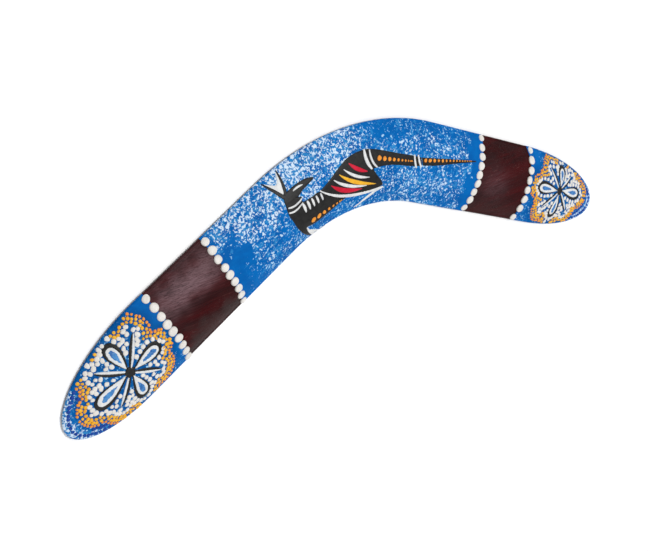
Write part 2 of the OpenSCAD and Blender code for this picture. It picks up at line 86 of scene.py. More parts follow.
def arm_of(x, y):
    """x, y to side, u, v."""
    x, y = np.asarray(x, float) - CX, np.asarray(y, float) - CY + ELBOW_R
    side = np.where(x < 0, -1, 1)
    x = np.abs(x)
    th = np.minimum(np.arctan2(x, y), ARM_A)
    v = x * np.sin(th) + y * np.cos(th) - ELBOW_R
    u = ELBOW_R * th + np.maximum(x * C - y * S, 0) * (th >= ARM_A - 1e-9)
    return side, u, v


def by_side(side, table):
    """The left or the right arm's value for each place."""
    return np.where(side < 0, table[-1], table[1])


def reach_of(side, u, v, g=0.0):
    """How far out a place lies on its cross-section, from 0 in the middle to HALF_W at the edge."""
    past = np.maximum(u - TIP_U - by_side(side, LEAN) * v, 0)
    return np.hypot(v, past * (HALF_W + g) / (by_side(side, TIP_L) + g))


def height(x, y, g=0.0):
    """Height of the top, grown by g, over the point x, y."""
    side, u, v = arm_of(x, y)
    r = reach_of(side, u, v, g)
    dome = DOME_Z + np.sqrt((DOME_R + g) ** 2 - np.minimum(r, FLAT_W) ** 2)
    rise = np.sqrt(np.clip(1 - (np.maximum(r - FLAT_W, 0) / EDGE_R) ** 2, 0, 1))
    return np.where(r <= FLAT_W, dome, EDGE_R + (EDGE_R + g * rise) * rise)


def normal(x, y, g=0.0):
    """Unit normals of the top, from its slope over a small step e."""
    e = 0.05
    nx = -(height(x + e, y, g) - height(x - e, y, g)) / (2 * e)
    ny = -(height(x, y + e, g) - height(x, y - e, g)) / (2 * e)
    n = np.stack([nx, ny, np.ones_like(nx)], -1)
    return n / np.linalg.norm(n, axis=-1, keepdims=True)


# ---------------------------------------- smooth seeded unevenness
WAVES = 24
wave_way = rng.normal(size=(WAVES, 2))
wave_way /= np.linalg.norm(wave_way, axis=1, keepdims=True)
wave_start = rng.uniform(0, 2 * np.pi, WAVES)
wave_rate = np.geomspace(0.6, 2.4, WAVES)


def wander(x, y, scale, shift=0.0):
    """Smooth noise between about -1 and 1; scale is its usual wavelength in mm."""
    along = np.asarray(x)[..., None] * wave_way[:, 0] + np.asarray(y)[..., None] * wave_way[:, 1]
    a = along * 2 * np.pi * wave_rate / scale
    return np.sin(a + wave_start + shift).sum(-1) / 6.0


# ---------------------------------------- mesh helpers
# how many points are measured against an outline at a time
BATCH = 2000
# how far in from its outline a film of paint reaches full thickness
SOFT_EDGE = 0.45
# how far out on a cross-section paint may reach
PAINT_REACH = HALF_W - 0.3


def make(name, points, faces, mat, nodes, normals=None, attrs=None):
    """One piece from points in millimetres, standing in for the CAD nodes it covers."""
    mesh = bpy.data.meshes.new(name)
    mesh.from_pydata((np.asarray(points) * 0.001).tolist(), [], [list(f) for f in faces])
    mesh.update()
    mesh.polygons.foreach_set("use_smooth", [True] * len(mesh.polygons))
    for key, values in (attrs or {}).items():
        attribute = mesh.attributes.new(key, "FLOAT", "POINT")
        attribute.data.foreach_set("value", np.asarray(values, np.float32))
    mesh.materials.append(mat)
    ob = bpy.data.objects.new(name, mesh)
    bpy.context.scene.collection.objects.link(ob)
    if normals is not None:
        mesh.normals_split_custom_set_from_vertices(np.asarray(normals).tolist())
    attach(ob, "root")
    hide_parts(*nodes)


def catmull(p, steps=10):
    """A smooth closed curve through the points."""
    p = np.asarray(p, float)
    n = len(p)
    t = np.linspace(0, 1, steps, endpoint=False)[:, None]
    out = []
    for i in range(n):
        a, b, c, d = p[i - 1], p[i], p[(i + 1) % n], p[(i + 2) % n]
        square, cube = 2 * a - 5 * b + 4 * c - d, 3 * b - a - 3 * c + d
        out.append(0.5 * (2 * b + (c - a) * t + square * t * t + cube * t**3))
    return np.concatenate(out)


def resample(p, step):
    """A closed outline with points about a step apart."""
    q = np.concatenate([p, p[:1]])
    d = np.concatenate([[0], np.cumsum(np.linalg.norm(np.diff(q, axis=0), axis=1))])
    n = max(8, int(d[-1] / step))
    s = np.linspace(0, d[-1], n, endpoint=False)
    return np.stack([np.interp(s, d, q[:, 0]), np.interp(s, d, q[:, 1])], -1)


def stroke(a, b, c, w):
    """Outline of a brush stroke along a curve; w holds its widths from start to end."""
    a, b, c = (np.asarray(q, float) for q in (a, b, c))
    t = np.linspace(0, 1, 28)[:, None]
    mid = (1 - t) ** 2 * a + 2 * t * (1 - t) * b + t * t * c
    d = 2 * (1 - t) * (b - a) + 2 * t * (c - b)
    d /= np.linalg.norm(d, axis=1, keepdims=True)
    aside = np.stack([-d[:, 1], d[:, 0]], -1)
    half = ((1 - t) ** 2 * w[0] + 2 * t * (1 - t) * w[1] + t * t * w[2]) / 2
    # round ends
    turn = np.linspace(np.pi / 2, -np.pi / 2, 7)[1:-1, None]
    end = c + (np.cos(turn) * d[-1] + np.sin(turn) * aside[-1]) * w[2] / 2
    start = a + (-np.cos(turn) * d[0] - np.sin(turn) * aside[0]) * w[0] / 2
    return np.concatenate([mid + aside * half, end, (mid - aside * half)[::-1], start])


def inside(p, poly):
    """Which of the points lie inside a closed outline."""
    x, y = p[:, 0][:, None], p[:, 1][:, None]
    x0, y0 = poly[:, 0], poly[:, 1]
    x1, y1 = np.roll(x0, -1), np.roll(y0, -1)
    cut = (y0 > y) != (y1 > y)
    at = x0 + (y - y0) / np.where(y1 == y0, 1e-9, y1 - y0) * (x1 - x0)
    return ((cut & (x < at)).sum(1) % 2) == 1


def distance(p, loops):
    """How far each point is from the nearest outline."""
    best = np.full(len(p), 1e9)
    for poly in loops:
        a, b = poly, np.roll(poly, -1, 0)
        ab = b - a
        for lo in range(0, len(p), BATCH):
            part = slice(lo, lo + BATCH)
            q = p[part]
            t = np.clip(((q[:, None] - a) * ab).sum(-1) / (ab**2).sum(-1), 0, 1)
            d = np.linalg.norm(q[:, None] - a - ab * t[..., None], axis=-1).min(1)
            best[part] = np.minimum(best[part], d)
    return best


def unsteady(loop, wob):
    """An outline with the slight waver of a hand."""
    x, y = loop[:, 0], loop[:, 1]
    return loop + np.stack([wander(x, y, 3.0), wander(x, y, 3.0, 2.0)], -1) * wob


def filled(outline, holes, step):
    """Points and upward triangles of an even mesh that fills an outline, but not its holes."""

    def within(places):
        ok = inside(places, outline)
        for hole in holes:
            ok &= ~inside(places, hole)
        return ok

    loops = [outline, *holes]
    lo, hi = outline.min(0), outline.max(0)
    x, y = np.meshgrid(np.arange(lo[0], hi[0], step), np.arange(lo[1], hi[1], step * 0.87))
    x = x + (np.arange(x.shape[0])[:, None] % 2) * step / 2
    grid = np.stack([x.ravel(), y.ravel()], -1)
    grid = grid[within(grid)]
    if len(grid):
        grid = grid[distance(grid, loops) > step * 0.45]
    edges, first = [], 0
    for loop in loops:
        n = len(loop)
        edges += [(first + i, first + (i + 1) % n) for i in range(n)]
        first += n
    corners = [Vector(q) for q in np.concatenate([*loops, grid])]
    found = delaunay_2d_cdt(corners, edges, [], 0, 1e-5)
    points = np.array([tuple(q) for q in found[0]])
    triangles = np.array([f for f in found[2]])
    triangles = triangles[within(points[triangles].mean(1))]
    a, b, c = (points[triangles[:, i]] for i in range(3))
    down = np.cross(b - a, c - a) < 0
    triangles[down] = triangles[down][:, ::-1]
    used = np.unique(triangles)
    number = np.full(len(points), -1)
    number[used] = np.arange(len(used))
    return points[used], number[triangles]


def loose_edges(faces):
    """The edges that only one face has."""
    edges = {}
    for f in faces:
        for i in range(len(f)):
            edges[(int(f[i]), int(f[(i + 1) % len(f)]))] = 1
    return [(a, b) for a, b in edges if (b, a) not in edges]


def pull_in(places):
    """Places that would hang over the edge move back on to the blade."""
    side, u, v = arm_of(places[:, 0], places[:, 1])
    reach = reach_of(side, u, v)
    out = reach > PAINT_REACH
    if not out.any():
        return places
    side, u, v, share = side[out], u[out], v[out], PAINT_REACH / reach[out]
    lean = by_side(side, LEAN)
    past = np.maximum(u - TIP_U - lean * v, 0)
    v = v * share
    u = np.where(past > 0, TIP_U + lean * v + past * share, u)
    places = places.copy()
    places[out] = plan(side, u, v)
    return places


def film_mesh(shapes, base, thick, step=0.55, wob=0.05, sink=0.2):
    """Points and faces of films of paint: each shape is one outline, or an outline and its holes.
    base is how high above the wood it lies, wob the waver of its edge, sink its depth below base."""
    points, faces = [], []
    for shape in shapes:
        loops = shape if isinstance(shape, list) else [shape]
        loops = [unsteady(resample(np.asarray(loop, float), step * 0.7), wob) for loop in loops]
        places, triangles = filled(loops[0], loops[1:], step)
        places = pull_in(places)
        x, y = places[:, 0], places[:, 1]
        inward = np.clip(distance(places, loops) / SOFT_EDGE, 0, 1)
        uneven = 0.9 + 0.12 * wander(x, y, 1.7)
        rise = np.sqrt(1 - (1 - inward) ** 2) * thick * uneven
        up = normal(x, y, base)
        foot = np.column_stack([places, height(x, y, base)])
        m, first = len(places), sum(len(p) for p in points)
        points.append(np.concatenate([foot + up * (rise[:, None] + LIFT), foot - up * sink]))
        shell = [*triangles, *(m + triangles[:, ::-1])]
        shell += [(b, a, m + a, m + b) for a, b in loose_edges(triangles)]
        faces += [tuple(first + i for i in face) for face in shell]
    return np.concatenate(points), faces


def film(name, shapes, mat, slot, thick, base=COAT, **look):
    points, faces = film_mesh(shapes, base, thick, **look)
    make(name, points, faces, mat, [name])


def beads_mesh(spots, base, seg, lumpy, sink=0.15, steps=(1, 0.97, 0.86, 0.66, 0.36)):
    """Raised dots of paint, each a little uneven, from x, y, radius and height.
    seg is the number of points round a dot, and steps say how far out its rings of points lie."""
    points, faces = [], []
    turn = np.arange(seg) * 2 * np.pi / seg
    for x, y, r, high in spots:
        up = normal(np.array([x]), np.array([y]), base)[0]
        across = np.cross([0, 1, 0], up)
        across /= np.linalg.norm(across)
        along = np.cross(up, across)
        phase = rng.uniform(0, 2 * np.pi, 3)
        swing = rng.normal(size=3) * lumpy
        waves = sum(swing[i] / (i + 1) * np.sin((2 + i) * turn + phase[i]) for i in range(3))
        radius = r * (1 + waves)
        tilt = rng.normal(size=2) * 0.08
        slope = tilt[0] * np.cos(turn) + tilt[1] * np.sin(turn)
        rings = []
        for step in steps:
            out = np.outer(np.cos(turn) * radius * step, across)
            out = out + np.outer(np.sin(turn) * radius * step, along)
            place = pull_in([x, y] + out[:, :2])
            foot = np.column_stack([place, height(place[:, 0], place[:, 1], base)])
            if step == 1:
                rings.append(foot - up * sink)
            rise = high * math.sqrt(1 - step**4) * (1 + slope * step)
            rings.append(foot + up * (rise[:, None] + LIFT))
        middle = np.array([x, y, float(height(np.array([x]), np.array([y]), base)[0])])
        first = sum(len(p) for p in points)
        last = first + (len(rings) - 1) * seg
        points.append(np.concatenate([*rings, [middle + up * (high + LIFT), middle - up * sink]]))
        for i in range(seg):
            j = (i + 1) % seg
            for ring in range(first, last, seg):
                faces.append((ring + i, ring + j, ring + seg + j, ring + seg + i))
            faces.append((last + i, last + j, last + seg))
            faces.append((first + j, first + i, last + seg + 1))
    return np.concatenate(points), faces


def beads(name, spots, mat, slot, base=COAT, **look):
    points, faces = beads_mesh(spots, base, **look)
    make(name, points, faces, mat, [name])


# ---------------------------------------- the blade and its coats as skins
# how much narrower than the blade the coat's lip is, and the wood's growth, which is inwards
LIP, WOOD_GROWTH = 0.04, -0.12
# the coat begins this high above the underside, and its shell is this deep
COAT_LOW, SHELL = 0.2, 0.3
# rows of points on the lip, on half the dome and on half the underside, and fans of them round a tip
LIP_ROWS, DOME_ROWS, FLAT_ROWS, FANS = 10, 26, 10, 48
# how far apart the cross-sections of the wood and of the coat are
WOOD_STEP, COAT_STEP = 1.1, 0.9
# points are joined on a grid of this many steps a millimetre
WELD = 500


def half_section(g, low):
    """Half a cross-section from the lip to the crown: distance out, height, the normal's two parts.
    A coat (g > 0) thins out to nothing at the edge; the wood (g < 0) is full size only below."""
    rows = []
    start = math.asin(max(-1, (low - EDGE_R) / EDGE_R))
    for a in np.linspace(start, math.pi / 2, LIP_ROWS):
        up = math.sin(a)
        r = EDGE_R + (g * max(0, up) ** 2 - LIP * (1 - up) if g > 0 else g * min(1, 1 + up))
        rows.append((FLAT_W + r * math.cos(a), EDGE_R + r * math.sin(a), math.cos(a), math.sin(a)))
    for r in np.linspace(FLAT_W, 0, DOME_ROWS)[1:]:
        z = DOME_Z + math.sqrt((DOME_R + g) ** 2 - r * r)
        rows.append((r, z, r / (DOME_R + g), (z - DOME_Z) / (DOME_R + g)))
    return np.array(rows)


def skin(side, u0, u1, g, low, step, under=False):
    """Points, normals and quads of one arm's top from u0 to u1, or round the tip if u1 is None.
    step is how far apart its cross-sections are, and under adds the flat underside."""
    half = half_section(g, low)
    if under:
        flat = [(r, 0.0, 0.0, -1.0) for r in np.linspace(0, FLAT_W, FLAT_ROWS)[:-1]]
        half = np.concatenate([flat, half])
    full = np.concatenate([half, half[-2::-1] * [-1, 1, -1, 1]])
    v = full[:, 0]
    last = np.full(len(v), float(u1)) if u1 is not None else TIP_U + LEAN[side] * v
    first = np.minimum(u0, last)
    points, normals = [], []
    for k in np.linspace(0, 1, max(2, int(abs(last.mean() - u0) / step))):
        u = first + (last - first) * k
        turn = np.minimum(u / ELBOW_R, ARM_A)
        out = np.stack([side * np.sin(turn), np.cos(turn)], -1)
        points.append(np.column_stack([plan(side, u, v), full[:, 1]]))
        normals.append(np.column_stack([out * full[:, 2:3], full[:, 3]]))
    grids = [np.arange(len(points) * len(v)).reshape(-1, len(v))]
    if u1 is None:
        grids.append(np.arange(FANS * len(half)).reshape(-1, len(half)) + grids[0].size)
        stretch = TIP_L[side] / HALF_W
        arm_way, out_way = np.array([side * C, -S]), np.array([side * S, C])
        for turn in np.linspace(0, math.pi, FANS):
            across, along = half[:, 0] * math.cos(turn), half[:, 0] * math.sin(turn)
            n_along = half[:, 2] * math.sin(turn) / stretch
            n_across = half[:, 2] * math.cos(turn) - LEAN[side] * n_along
            level = n_along[:, None] * arm_way + n_across[:, None] * out_way
            u = TIP_U + LEAN[side] * across + along * stretch
            points.append(np.column_stack([plan(side, u, across), half[:, 1]]))
            normals.append(np.column_stack([level, half[:, 3]]))
    quads = []
    for k in grids:
        corners = [k[:-1, :-1], k[:-1, 1:], k[1:, 1:], k[1:, :-1]]
        quads.append(np.stack(corners, -1).reshape(-1, 4))
    normals = np.concatenate(normals)
    normals /= np.linalg.norm(normals, axis=1, keepdims=True)
    return np.concatenate(points), normals, np.concatenate(quads)


def weld(skins):
    """Joins skins into one mesh with shared points, its faces turned to their normals."""
    points = np.concatenate([p for p, _, _ in skins])
    normals = np.concatenate([n for _, n, _ in skins])
    starts = np.cumsum([0, *[len(p) for p, _, _ in skins]])[:-1]
    quads = np.concatenate([q + start for (_, _, q), start in zip(skins, starts, strict=True)])
    places = np.round(points * WELD).astype(np.int64)
    _, kept, number = np.unique(places, axis=0, return_index=True, return_inverse=True)
    points, normals, quads = points[kept], normals[kept], number.reshape(-1)[quads]
    faces = []
    for q in quads:
        f = [int(q[i]) for i in range(4) if q[i] != q[i - 1]]
        if len(set(f)) < 3:
            continue
        a, b, c = (points[f[i]] - points[f[0]] for i in (1, 2, -1))
        facing = np.cross(a, b) + np.cross(b, c)
        faces.append(tuple(f) if facing @ normals[f].sum(0) > 0 else tuple(f[::-1]))
    return points, normals, faces


def closed(points, normals, faces, depth):
    """Gives a skin an inner side this deep, so that it is a closed shell."""
    m = len(points)
    inner = [tuple(m + i for i in f[::-1]) for f in faces]
    walls = [(b, a, m + a, m + b) for a, b in loose_edges(faces)]
    both = np.concatenate([points, points - normals * depth])
    return both, np.concatenate([normals, normals]), faces + inner + walls


# ---------------------------------------- materials
def linear(c):
    return c / 12.92 if c <= 0.04045 else ((c + 0.055) / 1.055) ** 2.4


def lin(r, g, b):
    """A screen colour as the linear one a socket takes."""
    return (linear(r / 255), linear(g / 255), linear(b / 255), 1)


class Nodes:
    """A little shorthand for building a material's node tree."""

    def __init__(self, name):
        self.mat = bpy.data.materials.new(name)
        self.mat.use_nodes = True
        self.tree = self.mat.node_tree
        self.bsdf = self.tree.nodes["Principled BSDF"]
        place = self.add("ShaderNodeTexCoord")
        in_mm = self.add("ShaderNodeVectorMath", operation="SCALE")
        in_mm.inputs["Scale"].default_value = 1000
        self.link(place.outputs["Object"], in_mm.inputs[0])
        self.mm = in_mm.outputs[0]

    def add(self, kind, **props):
        n = self.tree.nodes.new(kind)
        for k, v in props.items():
            setattr(n, k, v)
        return n

    def link(self, a, b):
        self.tree.links.new(a, b)

    def put(self, socket, value):
        if isinstance(value, bpy.types.NodeSocket):
            self.link(value, socket)
        else:
            socket.default_value = value

    def mapped(self, turn, scale):
        m = self.add("ShaderNodeMapping")
        m.inputs["Rotation"].default_value = (0, 0, turn)
        m.inputs["Scale"].default_value = scale
        self.link(self.mm, m.inputs["Vector"])
        return m.outputs[0]

    def noise(self, scale, detail, rough=0.55, warp=0.0, at=None, seed=0.0):
        n = self.add("ShaderNodeTexNoise", noise_dimensions="4D")
        n.inputs["W"].default_value = seed
        n.inputs["Scale"].default_value = scale
        n.inputs["Detail"].default_value = detail
        n.inputs["Roughness"].default_value = rough
        n.inputs["Distortion"].default_value = warp
        self.link(at or self.mm, n.inputs["Vector"])
        return n.outputs["Fac"]

    def steps(self, value, lo, hi, a=0.0, b=1.0):
        n = self.add("ShaderNodeMapRange", interpolation_type="SMOOTHSTEP")
        n.inputs["From Min"].default_value = lo
        n.inputs["From Max"].default_value = hi
        n.inputs["To Min"].default_value = a
        n.inputs["To Max"].default_value = b
        self.link(value, n.inputs["Value"])
        return n.outputs["Result"]

    def math(self, op, a, b=0.0, clamp=False):
        n = self.add("ShaderNodeMath", operation=op, use_clamp=clamp)
        self.put(n.inputs[0], a)
        self.put(n.inputs[1], b)
        return n.outputs[0]

    def mix(self, fac, a, b):
        n = self.add("ShaderNodeMix", data_type="RGBA", blend_type="MIX")
        self.put(n.inputs[0], fac)
        self.put(n.inputs[6], a)
        self.put(n.inputs[7], b)
        return n.outputs[2]

    def attribute(self, name):
        n = self.add("ShaderNodeAttribute", attribute_name=name)
        return n.outputs["Fac"]

    def finish(self, colour, rough, bump=None, depth=0.05, spec=0.5):
        b = self.bsdf
        self.put(b.inputs["Base Color"], colour)
        self.put(b.inputs["Roughness"], rough)
        b.inputs["Specular IOR Level"].default_value = spec
        if bump is not None:
            n = self.add("ShaderNodeBump")
            n.inputs["Strength"].default_value = 1
            n.inputs["Distance"].default_value = depth * 0.001
            self.link(bump, n.inputs["Height"])
            self.link(n.outputs["Normal"], b.inputs["Normal"])
        return self.mat


def wood_material():
    """Maroon-stained board: long straight grain, darker pores, pale streaks as a painted highlight,
    and a painted grey reflection, each as strong as its attribute says.
    """
    m = Nodes("stained_wood")
    painted_sheen, painted_reflection = m.attribute("painted_sheen"), m.attribute("painted_reflection")

    def grain(squash):
        return m.mapped(-math.radians(2.6), (squash, 1, 1))

    bands = m.noise(0.16, 4, 0.6, 0.4, grain(0.06), 1.0)
    lines = m.noise(1.9, 4, 0.72, 0.2, grain(0.035), 2.0)
    pores = m.steps(m.noise(3.4, 2, 0.6, 0.0, grain(0.14), 3.0), 0.60, 0.68)
    streaks = m.steps(m.noise(2.6, 2, 0.6, 0.0, grain(0.05), 7.0), 0.64, 0.72)
    cloud = m.noise(0.05, 3, 0.5, 0.3, None, 4.0)
    col = m.mix(m.steps(bands, 0.35, 0.66), lin(34, 9, 11), lin(62, 8, 12))
    col = m.mix(m.steps(lines, 0.38, 0.7, 0, 0.55), col, lin(66, 24, 25))
    col = m.mix(m.steps(cloud, 0.48, 0.68, 0, 0.5), col, lin(40, 26, 27))
    col = m.mix(m.math("MULTIPLY", streaks, m.steps(bands, 0.42, 0.6, 0, 0.7)), col, lin(128, 86, 82))
    # painted highlight: pale streaks along the grain, as strong as the sheen attribute
    shine = m.math("MULTIPLY", painted_sheen, m.steps(lines, 0.3, 0.62, 0.16, 0.7))
    col = m.mix(shine, col, lin(112, 84, 90))
    # painted reflection: a grey cast along the grain, as strong as its attribute
    col = m.mix(m.math("MULTIPLY", painted_reflection, m.steps(lines, 0.3, 0.7, 0.3, 0.7)), col, lin(56, 45, 44))
    col = m.mix(m.math("MULTIPLY", pores, 0.6), col, lin(16, 6, 8))
    hgt = m.math("SUBTRACT", m.math("MULTIPLY", lines, 0.5), m.math("MULTIPLY", pores, 0.6))
    return m.finish(col, m.steps(lines, 0.2, 0.8, 0.33, 0.45), hgt, 0.16, 0.07)


def blue_material():
    """Blue ground sponged with white: crisp flecks in a haze, as dense as the attribute says."""
    m = Nodes("sponged_blue")
    much = m.attribute("sponge")
    cloud = m.noise(0.09, 4, 0.6, 0.5)
    base = m.mix(m.steps(cloud, 0.3, 0.7), lin(0, 84, 158), lin(0, 101, 178))
    brushed = m.noise(0.8, 3, 0.6, 0.3, m.mapped(0.35, (0.25, 1, 1)), 5.0)
    base = m.mix(m.steps(brushed, 0.45, 0.75, 0, 0.3), base, lin(10, 104, 170))
    deeper = m.math("MULTIPLY", m.attribute("dark"), m.steps(brushed, 0.3, 0.7, 0.6, 1))
    base = m.mix(deeper, base, lin(0, 72, 134))
    patch = m.noise(0.11, 2, 0.5, 0.3, None, 2.0)
    local = m.math("MULTIPLY", much, m.steps(patch, 0.25, 0.7, 0.86, 1.12))
    haze = m.noise(0.42, 3, 0.55, 0.5, None, 1.0)
    soft = m.math("SUBTRACT", haze, m.math("SUBTRACT", 0.72, m.math("MULTIPLY", local, 0.27)))
    col = m.mix(m.math("MULTIPLY", m.math("MULTIPLY", soft, 8.0, True), 0.5), base, lin(62, 152, 208))
    fleck = m.math("ADD", m.math("MULTIPLY", m.noise(0.7, 2, 0.5, 0.7, None, 3.0), 0.74),
                   m.math("MULTIPLY", m.noise(1.7, 2, 0.6, 0.5, None, 6.0), 0.26))
    crisp = m.math("SUBTRACT", fleck, m.math("SUBTRACT", 0.70, m.math("MULTIPLY", local, 0.19)))
    crisp = m.math("MULTIPLY", crisp, 20.0, True)
    grit = m.noise(2.6, 3, 0.6, 0.4, None, 4.0)
    white = m.mix(m.steps(much, 0.66, 0.98), lin(156, 204, 236), lin(208, 225, 241))
    col = m.mix(m.math("MULTIPLY", crisp, m.steps(grit, 0.3, 0.5, 0.7, 0.95)), col, white)
    hgt = m.math("ADD", m.math("MULTIPLY", crisp, 0.6), m.math("MULTIPLY", grit, 0.35))
    return m.finish(col, m.steps(grit, 0.2, 0.8, 0.5, 0.65), hgt, 0.10, 0.04)


def paint_material(name, dark, light, streaky, rough=0.42, streak=0.2, depth=0.08):
    """Brushed acrylic: two close tones in clouds, a third in fine streaks, and a little relief."""
    m = Nodes(name)
    cloud = m.noise(0.35, 4, 0.6, 0.6, None, 1.0)
    fine = m.noise(2.2, 4, 0.65, 0.3, m.mapped(streak, (0.25, 1, 1)), 2.0)
    col = m.mix(m.steps(cloud, 0.3, 0.7), lin(*dark), lin(*light))
    col = m.mix(m.steps(fine, 0.45, 0.75, 0, 0.3), col, lin(*streaky))
    hgt = m.math("ADD", m.math("MULTIPLY", cloud, 0.5), m.math("MULTIPLY", fine, 0.5))
    return m.finish(col, m.steps(fine, 0.2, 0.8, rough - 0.07, rough + 0.08), hgt, depth, 0.22)


WOOD = wood_material()
BLUE = blue_material()
WHITE = paint_material("white_paint", (214, 210, 204), (226, 223, 218), (202, 198, 192),
                       streak=0.4, depth=0.10)
WHITE_F = paint_material("white_brushed_paint", (204, 206, 208), (226, 226, 224), (172, 182, 194),
                         rough=0.45, streak=0.4)
BLACK = paint_material("black_paint", (20, 20, 20), (34, 34, 33), (48, 43, 41),
                       rough=0.46, streak=0.45, depth=0.12)
ORANGE = paint_material("orange_paint", (224, 136, 40), (238, 156, 58), (204, 114, 30))
YELLOW = paint_material("yellow_paint", (224, 158, 28), (238, 184, 54), (206, 140, 30))
RED = paint_material("red_paint", (186, 12, 40), (206, 26, 58), (146, 10, 32), streak=0.35)
DEEP = paint_material("deep_blue_paint", (0, 50, 136), (4, 70, 160), (0, 40, 112))
FILL = paint_material("petal_blue_paint", (12, 84, 156), (70, 138, 198), (176, 206, 228),
                      streak=0.3, depth=0.06)


# ---------------------------------------- the blank and its sponged coats
# how far the coats run on under the rows of big dots
UNDER_DOTS = 0.6
# how far below the middle of the elbow the figure's own origin lies
FIGURE_DROP = 22.6
# the sponging of the elbow ends before this far along an arm, and the tip's begins beyond it
TIP_PATTERN_U = 120


def smooth_step(x, lo, hi):
    t = np.clip((x - lo) / (hi - lo), 0, 1)
    return t * t * (3 - 2 * t)


def blob(x, y, cx, cy, rx, ry):
    """1 at cx, cy, falling off smoothly over rx and ry."""
    return np.exp(-(((x - cx) / rx) ** 2) - ((y - cy) / ry) ** 2)


def blade():
    """The wooden blank: a painted highlight makes it paler on the left arm's outer half and the
    middle of the right arm, and a painted reflection makes it greyer towards the inside edge.
    """
    skins = [skin(side, 0, None, WOOD_GROWTH, 0, WOOD_STEP, under=True) for side in (-1, 1)]
    points, normals, faces = weld(skins)
    x, y = points[:, 0], points[:, 1]
    side, u, across = arm_of(x, y)
    patchy = wander(x, y, 17)
    # painted highlight, broad on the outer half of the left arm and fainter in the middle of the
    # right arm
    outer = 1.5 * blob(u, across + 2 * patchy, 117, 12, 23, 7.5)
    painted_sheen = np.where(side < 0, outer, 0.5 * blob(u, across, 116, -4, 11, 9))
    # painted grey reflection towards the inside edge, stronger on the left arm
    inner = smooth_step(-across + 4 * patchy, 6, 18)
    painted_reflection = np.where(side < 0, inner, 0.6 * smooth_step(-across, 8, 20))
    looks = {"painted_sheen": painted_sheen, "painted_reflection": painted_reflection}
    make("blank", points, faces, WOOD, ["wood_blank"], normals, looks)


def ground(x, y):
    """How thickly the white is sponged on at x, y, from bare blue at 0, and how dark the blue is."""
    side, u, v = arm_of(x, y)
    fx, fy = x - CX, y - CY + FIGURE_DROP
    rough = wander(x, y, 14)
    # each arm's sponging ends ragged before its row of dots, and the two blend over the elbow
    left = 0.77 + 0.17 * smooth_step(v, -8, 10)
    end = 95 + 12 * smooth_step(v, 3, 16) - 6 * blob(u, v, 88, 2, 12, 6) + 3 * rough
    left *= smooth_step(end - u, 0, 18)
    right = 0.82 - 0.12 * smooth_step(v, 8, 24)
    right *= smooth_step(95 - 0.16 * (v + 20) + 4 * rough - u, 0, 5)
    much = left + (right - left) * smooth_step(fx, -12, 12)
    # whiter above the figure's back and round its ears, barer over the tail and under the belly
    much += 0.14 * blob(fx, fy, -26, 36, 30, 9) + 0.1 * blob(fx, fy, -52, 30, 16, 14)
    much -= 0.16 * blob(fx, fy, 24, 40, 8, 6)
    much -= 0.08 * blob(fx, fy, -12, 3, 18, 5)
    # on the tips it is thickest beyond the coloured dots and barest among them
    gap = by_side(side, {k: flower_gap(k, np.stack([u, v], -1) - FLOWER[k]) for k in FLOWER})
    beyond = u > by_side(side, {k: place[0] for k, place in FLOWER.items()})
    tip = 0.66 + 0.46 * smooth_step(gap, 10, 13) * beyond
    tip = tip - 0.2 * smooth_step(gap, 4, 6) * (1 - smooth_step(gap, 10, 13))
    row = by_side(side, OUTER_ROW)
    tip *= 1 - 0.9 * smooth_step(v, 4, 9) * (1 - smooth_step(u, row + 6, row + 10))
    white = np.where(u < TIP_PATTERN_U, np.clip(much + 0.1 * rough, 0, 1.3), tip)
    dark = np.where(u < TIP_PATTERN_U, 0, 0.85 * (1 - smooth_step(gap, 8, 13)))
    return {"sponge": white, "dark": dark}


def coat_piece(name, node, side, u0, u1):
    points, normals, faces = weld([skin(side, u0, u1, COAT, COAT_LOW, COAT_STEP)])
    points, normals, faces = closed(points, normals, faces, SHELL)
    looks = ground(points[:, 0], points[:, 1])
    make(name, points, faces, BLUE, [node], normals, looks)


def coats():
    for side, word in SIDE_WORD.items():
        coat_piece(f"blue_coat_elbow_{word}", "blue_coat_elbow", side, 0, ELBOW_U)
        inner_end = ROWS[side, "in"] + UNDER_DOTS
        coat_piece(f"blue_coat_arm_{word}", "blue_coat_elbow", side, ELBOW_U, inner_end)
        outer_end = ROWS[side, "out"] - UNDER_DOTS
        coat_piece(f"blue_coat_tip_{word}", f"blue_coat_{word}_tip", side, outer_end, None)


# ---------------------------------------- the raised dots across the arms
ROW_DOTS, ROW_MARGIN, ROW_DOT_HIGH = 9, 0.95, 0.8
ROW_DOT_R = {-1: 2.5, 1: 2.6}
# dots further out than this are a little smaller
NEAR_EDGE, SMALLER = 20, 0.3


def dot_rows():
    for (side, place), u in ROWS.items():
        spots = []
        count = ROW_DOTS - 1 if (side, place) == (1, "out") else ROW_DOTS
        for i in range(count):
            v = (2 * i / (count - 1) - 1) * (FLAT_W - ROW_MARGIN) + rng.normal() * 0.15
            x, y = plan(side, u + rng.normal() * 0.3, v)
            r = ROW_DOT_R[side] - SMALLER * (abs(v) > NEAR_EDGE)
            spots.append((x, y, r + rng.uniform(-0.18, 0.14), ROW_DOT_HIGH + rng.normal() * 0.04))
        ring = "outer" if place == "out" else "inner"
        name = f"dot_row_{SIDE_WORD[side]}_{ring}"
        beads(name, spots, WHITE, "white_paint", seg=28, lumpy=0.045, sink=0.45)


# ---------------------------------------- the kangaroo, laid over the elbow
def fig(points):
    """The figure's own places as x, y."""
    return np.asarray(points, float) + [CX, CY - FIGURE_DROP]


def brush(a, b, c, w0, w1, w2):
    """A brush stroke of the figure."""
    return fig(stroke(a, b, c, (w0, w1, w2)))


def lens(a, b, c, w):
    """A stroke that is pointed at both ends."""
    return brush(a, b, c, 0.35, 2 * w, 0.35)


